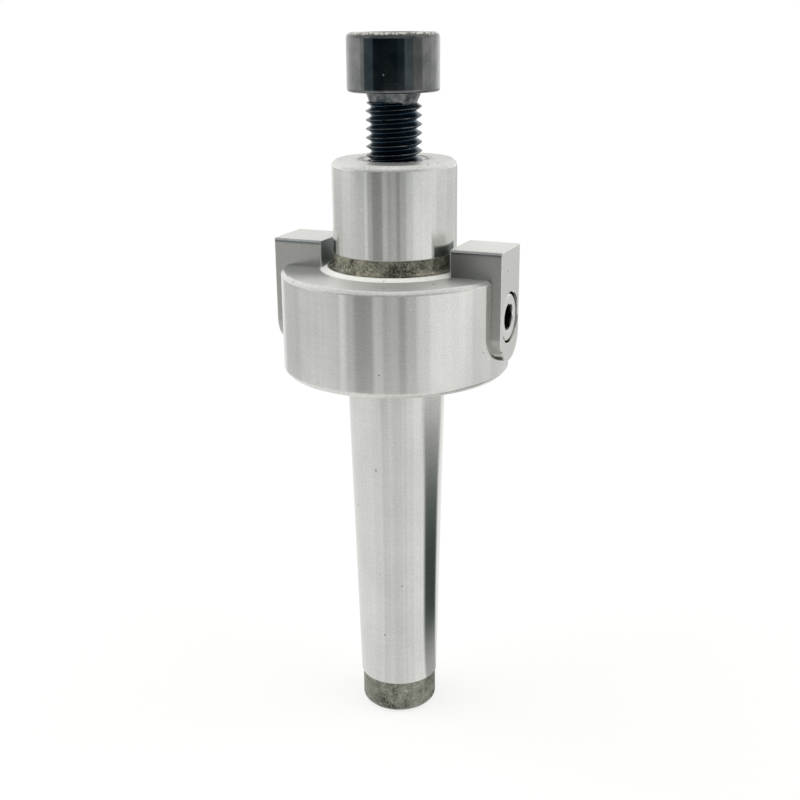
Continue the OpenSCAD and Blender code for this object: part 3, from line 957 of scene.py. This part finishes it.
def turnShare(graph, vector):
    # a vector's direction round the object as a share of a turn, one half at the camera's side
    right = (math.cos(view["side"]), math.sin(view["side"]), 0)
    front = (math.sin(view["side"]), -math.cos(view["side"]), 0)
    across, ahead = (graph.measure("DOT_PRODUCT", vector, way) for way in (right, front))
    return across.math("ARCTAN2", ahead) / fullTurn + 0.5


def ringLight(graph, share, panels, s):
    # panels of even brightness side by side round the object, halved in the ramp and doubled
    # after it, with thin upright streaks over them
    soft, places = s["softEdge"], []
    for start, end, bright in panels:
        half = (bright / 2,) * 3
        places += [((start + soft) / 360 + 0.5, half), ((end - soft) / 360 + 0.5, half)]
    values = {
        "W": share, "Scale": s["streaks"], "Detail": s["streakDetail"],
        "Roughness": s["streakRough"],
    }
    streak = graph.add("ShaderNodeTexNoise", {"noise_dimensions": "1D"}, values)
    streak = streak * s["streakDepth"] + (1 - s["streakDepth"] / 2)
    return graph.ramp(share, places) * 2.0 * streak


def shadeTint(graph, light, tint, plain=0.0):
    # dark parts have a colour of their own beside the white ones, as far as they aren't plain
    share = light.ease(0.0, studio["tintBelow"])
    return graph.blend(share.orMore(plain), tint, (1, 1, 1, 1))


def rayKind(graph, kind):
    return graph.add("ShaderNodeLightPath", output="Is " + kind + " Ray")


def flagShare(share, reach, p):
    # the flag is a sector round one azimuth, wider far out, that fades at its far end and a
    # little at its foot
    aside = (share - p["flagTurn"]).size() - reach.ease(*p["flagSpread"]) * p["flagWiden"]
    sector = (1.0 - aside.ease(*p["flagHalf"])) * (1.0 - reach.ease(*p["flagReach"]))
    foot = reach.ease(*p["flagFoot"]) * (1 - p["flagNear"]) + p["flagNear"]
    return sector * p["flagDark"] * foot


def makeFloor(s, p):
    # white paper to the eye; metal sees it as far as the paper's end, and nothing shows from below
    material, graph = newMaterial("paleFloor")
    spot = graph.spot()
    reach, share = graph.measure("LENGTH", spot), turnShare(graph, spot)
    white = reach.ease(*p["whiteFrom"]) * (1 - p["whiteNear"]) + p["whiteNear"]
    paper = graph.add("ShaderNodeBsdfDiffuse", inputs={"Color": p["paper"]})
    glow = graph.glow((1, 1, 1, 1), s["white"])
    seen = graph.mixShaders(rayKind(graph, "Camera") * white, paper, glow)
    light = ringLight(graph, share, s["floor"], s) * (1.0 - flagShare(share, reach, p))
    lit = graph.glow(shadeTint(graph, light, s["floorTint"]), light)
    clear = graph.add("ShaderNodeBsdfTransparent")
    mirrored = graph.mixShaders(reach.ease(*p["paperEnd"]), lit, clear)
    above = graph.mixShaders(rayKind(graph, "Glossy"), seen, mirrored)
    behind = graph.add("ShaderNodeNewGeometry", output="Backfacing")
    graph.close(graph.mixShaders(behind, above, clear))
    # the sheet lies a hair below the end face, so that the two never share a plane
    size, low = p["half"], p["low"]
    corners = [(-size, -size, low), (size, -size, low), (size, size, low), (-size, size, low)]
    mesh = bpy.data.meshes.new("floor")
    mesh.from_pydata(corners, [], [(0, 1, 2, 3)])
    mesh.materials.append(material)
    addObject("floor", mesh)


def aimCamera(v):
    data = bpy.data.cameras.new("photoCamera")
    data.sensor_width = v["sensor"]
    data.lens = v["focal"] / v["picture"] * v["sensor"]
    data.clip_start, data.clip_end = v["clip"]
    turn = v["side"] + v["swing"]
    flat = Vector((-math.sin(turn), math.cos(turn), 0))
    right = Vector((math.cos(turn), math.sin(turn), 0))
    ahead = flat * math.cos(v["down"]) + Vector((0, 0, -math.sin(v["down"])))
    upward = right.cross(ahead)
    rolledRight = right * math.cos(v["roll"]) + upward * math.sin(v["roll"])
    rolledUp = upward * math.cos(v["roll"]) - right * math.sin(v["roll"])
    away = (math.sin(v["side"]), -math.cos(v["side"]))
    spot = Vector((v["distance"] * away[0], v["distance"] * away[1], v["height"])) * mm
    basis = Matrix((rolledRight, rolledUp, -ahead)).transposed().to_4x4()
    camera = addObject("photoCamera", data)
    camera.matrix_world = Matrix.Translation(spot) @ basis
    bpy.context.scene.camera = camera


def softLight(name, azimuth, elevation, size, power):
    data = bpy.data.lights.new(name, "AREA")
    data.shape, data.size, data.energy = "SQUARE", size, power
    lamp = addObject(name, data)
    lamp.visible_glossy = False
    a, e = math.radians(azimuth) + view["side"], math.radians(elevation)
    back = Vector((math.sin(a) * math.cos(e), -math.cos(a) * math.cos(e), math.sin(e)))
    lamp.location = back * lampReach + lampAim
    lamp.rotation_mode = "QUATERNION"
    lamp.rotation_quaternion = back.to_track_quat("Z", "Y")


def studioWorld(s):
    # white behind the object; what metal mirrors is a studio with bright sides and a darker
    # room at the camera, in rings that take over from each other with the height
    world = bpy.data.worlds.new("studio")
    bpy.context.scene.world = world
    graph = Graph(world)
    eye, gloss, through = (rayKind(graph, kind) for kind in ("Camera", "Glossy", "Transmission"))
    way = graph.add("ShaderNodeTexCoord")
    share = turnShare(graph, way)
    rise = graph.measure("DOT_PRODUCT", way, (0, 0, 1)).math("ARCSINE") * (180 / math.pi)
    light = ringLight(graph, share, s["table"], s)
    for ring in ("room", "ceiling"):
        over = rise.ease(*s[ring + "From"])
        light = light * (1.0 - over) + ringLight(graph, share, s[ring], s) * over
    high = rise.ease(*s["overheadFrom"])
    light = light * (1.0 - high) + high * s["overhead"]
    seen = (eye + through) * (s["white"] - s["fill"])
    strength = light * gloss + (1.0 - gloss) * s["fill"] + seen
    colour = shadeTint(graph, strength, s["roomTint"], 1.0 - rise.ease(*s["roomFrom"]))
    shine = graph.add("ShaderNodeBackground", inputs={"Color": colour, "Strength": strength})
    graph.close(shine, "ShaderNodeOutputWorld")


aimCamera(view)
makeFloor(studio, paleSheet)
studioWorld(studio)
for name, place in lamps.items():
    softLight(name, *place)
bpy.context.scene.view_settings.view_transform = "Standard"

print("scene ready")
